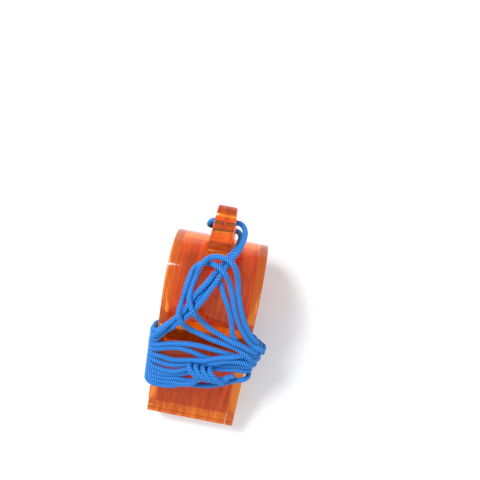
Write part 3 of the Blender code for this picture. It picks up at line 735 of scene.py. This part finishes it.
SIDES = 16
RING_SPACING = 0.11
BRAID_PERIOD = 0.55              # along the cord
BRAID_WALES = 4                  # yarn crowns round the cord
BRAID_RELIEF = 0.12              # of the cord's radius
END_ROUNDING = 0.5
KNOT_PITCH = 3.3                 # of each strand's turns round the knot
KNOT_START = ((-1.65, 0.0, -1.1), (-1.7, 0.95, -0.95), (-1.75, 1.4, -0.35))
KNOT_FRONT = ((-1.6, 1.3, 0.4), (-1.0, 0.8, 0.95), (0.0, 0.0, 1.15), (1.0, -0.8, 0.95),
              (1.6, -1.3, 0.4))
KNOT_BACK = ((1.8, -1.4, -0.35), (1.7, -0.95, -0.95), (1.65, 0.0, -1.1), (1.6, 0.95, -0.95),
             (1.6, 1.4, -0.35))
KNOT_STRANDS = (                 # each strand's first turn along X, then its tail
    (-2.5, ((2.8, -1.5, -0.4), (3.6, -1.5, -0.9), (4.6, -1.5, -1.2), (5.6, -1.6, -1.4))),
    (-0.85, ((4.4, -1.3, -0.5), (5.0, -0.8, -1.0), (5.8, -0.4, -1.2), (6.8, -0.3, -1.4))))


def frames_along(path):
    """Two cross directions at each point, which turn as little as they can along the path."""
    tangent = np.gradient(path, axis=0)
    tangent /= np.linalg.norm(tangent, axis=1, keepdims=True)
    normal = np.zeros_like(path)
    upright = abs(tangent[0][2]) < 0.8
    guess = np.array((0.0, 0.0, 1.0)) if upright else np.array((0.0, 1.0, 0.0))
    for index, direction in enumerate(tangent):
        guess = guess - direction * guess.dot(direction)
        guess = guess / np.linalg.norm(guess)
        normal[index] = guess
    return normal, np.cross(tangent, normal)


def braid_surface(path):
    """Points, faces, relief and face-corner coordinates of one braided strand."""
    count = len(path)
    normal, side = frames_along(path)
    spacing = np.linalg.norm(np.diff(path, axis=0), axis=1).sum() / (count - 1)
    along = np.arange(count) * spacing
    angles = np.arange(SIDES) * (2.0 * math.pi / SIDES)
    weave = (np.cos(BRAID_WALES * angles)[None, :]
             * np.cos(2.0 * math.pi * along / BRAID_PERIOD)[:, None])
    size = CORD_RADIUS * (1.0 + BRAID_RELIEF * weave)
    reach = int(END_ROUNDING / spacing)
    for index in range(reach):
        share = (index + 0.5) / reach
        taper = math.sqrt(1.0 - (1.0 - share) ** 2)
        size[index] *= taper
        size[count - 1 - index] *= taper
    ring = (normal[:, None, :] * np.cos(angles)[None, :, None]
            + side[:, None, :] * np.sin(angles)[None, :, None])
    points = (path[:, None, :] + ring * size[:, :, None]).reshape(-1, 3)
    # the relief also sets the cord's painted shade in the gaps and painted highlight on the crowns
    relief = (weave * 0.5 + 0.5).reshape(-1)
    here = np.arange(SIDES)[None, :]
    there = (here + 1) % SIDES
    start = np.arange(count - 1)[:, None]
    first = start * SIDES
    following = first + SIDES
    quads = np.stack((first + here, first + there, following + there, following + here),
                     axis=2).reshape(-1, 4)
    faces = quads.tolist()
    u = np.stack((here, here + 1, here + 1, here), axis=2) / SIDES * BRAID_WALES
    v = np.stack((start, start, start + 1, start + 1), axis=2) * spacing / BRAID_PERIOD
    corners = np.stack(np.broadcast_arrays(u, v), axis=3).reshape(-1, 2)
    last = (count - 1) * SIDES
    tips = len(points)
    for corner in range(SIDES):
        after = (corner + 1) % SIDES
        faces.append((tips, after, corner))
        faces.append((tips + 1, last + corner, last + after))
    points = np.concatenate((points, path[:1], path[-1:]))
    relief = np.concatenate((relief, (0.5, 0.5)))
    corners = np.concatenate((corners, np.zeros((2 * SIDES * 3, 2))))
    return points, faces, relief, corners


def braided(name, paths, material):
    """One piece of braided cord, made of one or more strands."""
    parts = [braid_surface(path) for path in paths]
    points, faces = [], []
    for part_points, part_faces, _, _ in parts:
        faces += [[index + len(points) for index in face] for face in part_faces]
        points += part_points.tolist()
    mesh = bpy.data.meshes.new(name)
    mesh.from_pydata(points, [], faces)
    relief = np.concatenate([part[2] for part in parts]).astype(np.float32)
    corners = np.concatenate([part[3] for part in parts]).astype(np.float32)
    mesh.attributes.new("braid", "FLOAT", "POINT").data.foreach_set("value", relief)
    mesh.uv_layers.new(name="along").data.foreach_set("uv", corners.reshape(-1))
    mesh.transform(LYING)
    mesh.shade_smooth()
    mesh.materials.append(material)
    cord = new_object(name, mesh)
    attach(cord, "whistle")
    return cord


def make_knot(material):
    """The two ends wrapped slantwise round themselves, drawn tight, with two short tails."""
    strands = []
    for first, tail in KNOT_STRANDS:
        across = [(first + x, y, z) for x, y, z in KNOT_START + KNOT_FRONT + KNOT_BACK]
        across += [(first + KNOT_PITCH + x, y, z) for x, y, z in KNOT_FRONT]
        points = [np.array(point) + np.array(KNOT_CENTRE) for point in across + list(tail)]
        strands.append(smooth_route(points, [], RING_SPACING)[0])
    return braided("lanyard_knot_tied", strands, material)


def make_cords(material):
    paths = [resampled(path, RING_SPACING) for path in make_paths()]
    knot = make_knot(material)
    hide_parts("lanyard_knot")
    names = ("lanyard_cord_a", "lanyard_cord_b")
    nodes = (("lanyard_run_a", "lanyard_loop_inner", "lanyard_winding"),
             ("lanyard_run_b", "lanyard_loop_outer", "lanyard_under_run"))
    for name, path, replaced in zip(names, paths, nodes):
        cord = braided(name, [path], material)
        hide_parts(*replaced)


# ---------------------------------------------------------------- whistle

ARC_STEP = 2.0                   # degrees, as are the next three angles
RIM_ANGLE = 30.0                 # a rim's edge is sharper than this
FLAT_ANGLE = 0.3                 # faces that bend less than this are joined
SHARP_ANGLE = 28.0               # edges that bend more than this stay sharp
MERGE_DISTANCE = 0.002
CORNER_STEPS = 6
LUG_END_STEPS = 30
DRUM_SIDES = 180
HOLE_SIDES = 48
PEA_SEAM_HALF_WIDTH = 0.22
PEA_SEAM_HEIGHT = 0.012          # of the pea's radius


def arc(centre, radius, start, end, steps=None):
    """Points of an arc between two angles in degrees."""
    if steps is None:
        steps = max(1, round(abs(end - start) / ARC_STEP))
    return [(centre[0] + radius * math.cos(math.radians(start + (end - start) * k / steps)),
             centre[1] + radius * math.sin(math.radians(start + (end - start) * k / steps)))
            for k in range(steps + 1)]


def bite_groove(z_tip, z_inner, direction):
    """Side view of the shallow groove behind the mouth's lip."""
    lip_end = -MOUTH_REACH + LIP_LENGTH
    groove_end = lip_end + BITE_GROOVE_LENGTH
    depth = direction * BITE_GROOVE_DEPTH
    return [(lip_end, z_tip), (lip_end + BITE_GROOVE_SLOPE, z_tip + depth),
            (groove_end - BITE_GROOVE_SLOPE, z_inner + depth), (groove_end, z_inner)]


def whistle_outline():
    radius = BARREL_RADIUS
    tip = -MOUTH_REACH
    low = underside(tip)
    join_height = underside(-BARREL_RADIUS)
    join_angle = 180.0 - math.degrees(math.asin(join_height / radius))
    barrel = arc((0.0, 0.0), radius, 90.0, join_angle - 360.0)
    corner = TIP_ROUNDING
    lower = arc((tip + corner, low + corner), corner, 270.0, 180.0, CORNER_STEPS)
    upper = arc((tip + corner, radius - corner), corner, 180.0, 90.0, CORNER_STEPS)
    groove_end = tip + LIP_LENGTH + BITE_GROOVE_LENGTH
    under_groove = bite_groove(underside(tip + LIP_LENGTH), underside(groove_end), 1.0)
    top_groove = bite_groove(BARREL_RADIUS, BARREL_RADIUS, -1.0)
    return barrel + list(reversed(under_groove)) + lower + upper + top_groove


def window_outline():
    floor = BARREL_RADIUS - ROOF_WALL - WINDWAY_EXIT_HEIGHT
    above = BARREL_RADIUS + OVERCUT
    return [(-CHAMBER_RADIUS, 0.0), (-CHAMBER_RADIUS, floor), (-WINDOW_FRONT, floor),
            (-WINDOW_FRONT, above), (-WINDOW_RAMP_TOP, above), (-WINDOW_RAMP_TOP, BARREL_RADIUS),
            (-WINDOW_EDGE, BARREL_RADIUS - ROOF_WALL),
            (-WINDOW_RAMP_TOP, CHAMBER_RADIUS - THROAT_DEPTH), (-WINDOW_RAMP_TOP, 0.0)]


def windway_outline():
    roof = BARREL_RADIUS - ROOF_WALL
    inner = -WINDOW_FRONT + OVERLAP
    outer = -MOUTH_REACH - OVERCUT
    return [(outer, roof), (inner, roof), (inner, roof - WINDWAY_EXIT_HEIGHT),
            (outer, roof - WINDWAY_MOUTH_HEIGHT)]


def lug_outline():
    end = arc(LUG_TIP_CENTRE, LUG_TIP_RADIUS, *LUG_END_ARC, LUG_END_STEPS)
    return [LUG_ROOT_BOTTOM, LUG_ROOT_TOP] + end


def prism(name, outline, x_low, x_high):
    """Side-view outline extruded between two planes across X."""
    work = bmesh.new()
    low = [work.verts.new((x_low, y, z)) for y, z in outline]
    high = [work.verts.new((x_high, y, z)) for y, z in outline]
    work.faces.new(low)
    work.faces.new(list(reversed(high)))
    for index in range(len(outline)):
        after = (index + 1) % len(outline)
        work.faces.new((low[after], low[index], high[index], high[after]))
    bmesh.ops.recalc_face_normals(work, faces=work.faces)
    mesh = bpy.data.meshes.new(name)
    work.to_mesh(mesh)
    work.free()
    return new_object(name, mesh)


def drum(name, radius, x_low, x_high, centre=(0.0, 0.0), sides=DRUM_SIDES):
    outline = [(centre[0] + radius * math.cos(2.0 * math.pi * k / sides),
                centre[1] + radius * math.sin(2.0 * math.pi * k / sides)) for k in range(sides)]
    return prism(name, outline, x_low, x_high)


def round_rim(item, x_plane, width, segments=4):
    """Rounds the sharp edges that lie in one plane across X."""
    work = bmesh.new()
    work.from_mesh(item.data)
    rim = [edge for edge in work.edges if all(abs(v.co.x - x_plane) < 1e-4 for v in edge.verts)
           and edge.calc_face_angle(0.0) > math.radians(RIM_ANGLE)]
    bmesh.ops.bevel(work, geom=rim, offset=width, segments=segments, profile=0.5, affect="EDGES",
                    clamp_overlap=True)
    work.to_mesh(item.data)
    work.free()


def combine(target, other, operation):
    """Applies a Boolean with another object, which is removed."""
    modifier = target.modifiers.new("join", "BOOLEAN")
    modifier.operation = operation
    modifier.solver = "EXACT"
    modifier.object = other
    depsgraph = bpy.context.evaluated_depsgraph_get()
    mesh = bpy.data.meshes.new_from_object(target.evaluated_get(depsgraph))
    target.modifiers.clear()
    target.data = mesh
    bpy.data.objects.remove(other, do_unlink=True)


def finish_shell(item, material, replaced):
    """Cleans a shell's mesh, lays it in its place and keeps its real edges sharp."""
    mesh = item.data
    mesh.materials.clear()
    mesh.materials.append(material)
    for polygon in mesh.polygons:
        polygon.material_index = 0
    work = bmesh.new()
    work.from_mesh(mesh)
    bmesh.ops.remove_doubles(work, verts=work.verts, dist=MERGE_DISTANCE)
    bmesh.ops.dissolve_limit(work, angle_limit=math.radians(FLAT_ANGLE), verts=work.verts,
                             edges=work.edges)
    work.to_mesh(mesh)
    work.free()
    mesh.transform(LYING)
    mesh.shade_smooth()
    mesh.set_sharp_from_angle(angle=math.radians(SHARP_ANGLE))
    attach(item, "whistle")
    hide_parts(replaced)


def make_lug():
    half = LUG_ROOT_WIDTH / 2.0
    lug = prism("lug_blank", lug_outline(), -half, half)
    end = LUG_TIP_CENTRE[0] + LUG_TIP_RADIUS
    round_rim(lug, -half, LUG_ROUNDING, 3)
    round_rim(lug, half, LUG_ROUNDING, 3)
    for vertex in lug.data.vertices:
        share = (vertex.co.y - LUG_ROOT_TOP[0]) / (end - LUG_ROOT_TOP[0])
        vertex.co.x *= 1.0 + (LUG_TIP_WIDTH / LUG_ROOT_WIDTH - 1.0) * share
    return lug


def make_body(material):
    left = -WIDTH / 2.0
    right = WIDTH / 2.0 - COVER_THICKNESS - SEAM_GAP
    inner = left + SIDE_WALL
    beyond = WIDTH
    body = prism("whistle_body_moulding", whistle_outline(), left, right)
    round_rim(body, left, RIM_ROUNDING)
    combine(body, make_lug(), "UNION")
    combine(body, drum("chamber_cut", CHAMBER_RADIUS, inner, beyond), "DIFFERENCE")
    combine(body, prism("window_cut", window_outline(), inner, beyond), "DIFFERENCE")
    combine(body, prism("windway_cut", windway_outline(), inner, beyond), "DIFFERENCE")
    combine(body, drum("lug_hole_cut", LUG_HOLE_RADIUS, -WIDTH, WIDTH,
                       (LUG_HOLE_REACH, LUG_TIP_CENTRE[1]), HOLE_SIDES), "DIFFERENCE")
    combine(body, drum("panel_cut", PANEL_RADIUS, left - OVERCUT, left + PANEL_DEPTH), "DIFFERENCE")
    finish_shell(body, material, "whistle_body")


def make_cover(material):
    right = WIDTH / 2.0
    inner = right - COVER_THICKNESS
    cover = prism("side_cover_moulding", whistle_outline(), inner, right)
    round_rim(cover, right, RIM_ROUNDING)
    outer_radius = CHAMBER_RADIUS - RING_GAP
    combine(cover, drum("ring", outer_radius, inner - RING_DEPTH, inner + OVERLAP), "UNION")
    combine(cover, drum("ring_bore", outer_radius - RING_WALL, inner - 2.0 * RING_DEPTH, inner),
            "DIFFERENCE")
    combine(cover, drum("panel_cut", PANEL_RADIUS, right - PANEL_DEPTH, right + OVERCUT),
            "DIFFERENCE")
    finish_shell(cover, material, "side_cover")


def make_pea(material):
    low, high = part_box("pea")
    centre = (Vector(low) + Vector(high)) / 2.0
    work = bmesh.new()
    bmesh.ops.create_icosphere(work, subdivisions=5, radius=PEA_RADIUS * MM)
    for vertex in work.verts:
        seam = math.exp(-((vertex.co.z / (PEA_SEAM_HALF_WIDTH * MM)) ** 2))
        vertex.co *= 1.0 + PEA_SEAM_HEIGHT * seam
    bmesh.ops.translate(work, verts=work.verts, vec=centre)
    mesh = bpy.data.meshes.new("pea_ball")
    work.to_mesh(mesh)
    work.free()
    mesh.shade_smooth()
    mesh.materials.append(material)
    ball = new_object("pea_ball", mesh)
    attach(ball, "pea")
    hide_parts("pea")


def make_floor(material):
    mesh = bpy.data.meshes.new("floor")
    corners = [(-1.0, -1.0), (1.0, -1.0), (1.0, 1.0), (-1.0, 1.0)]
    mesh.from_pydata([(x * FLOOR_SIZE, y * FLOOR_SIZE, 0.0) for x, y in corners],
                     [], [(0, 1, 2, 3)])
    mesh.materials.append(material)
    floor = new_object("floor", mesh)
    floor.location.z = -FLOOR_DROP


make_camera()
make_cords(cord_material())
make_lights()
plastic = plastic_material()
make_body(plastic)
make_cover(plastic)
make_pea(pea_material())
make_floor(floor_material())
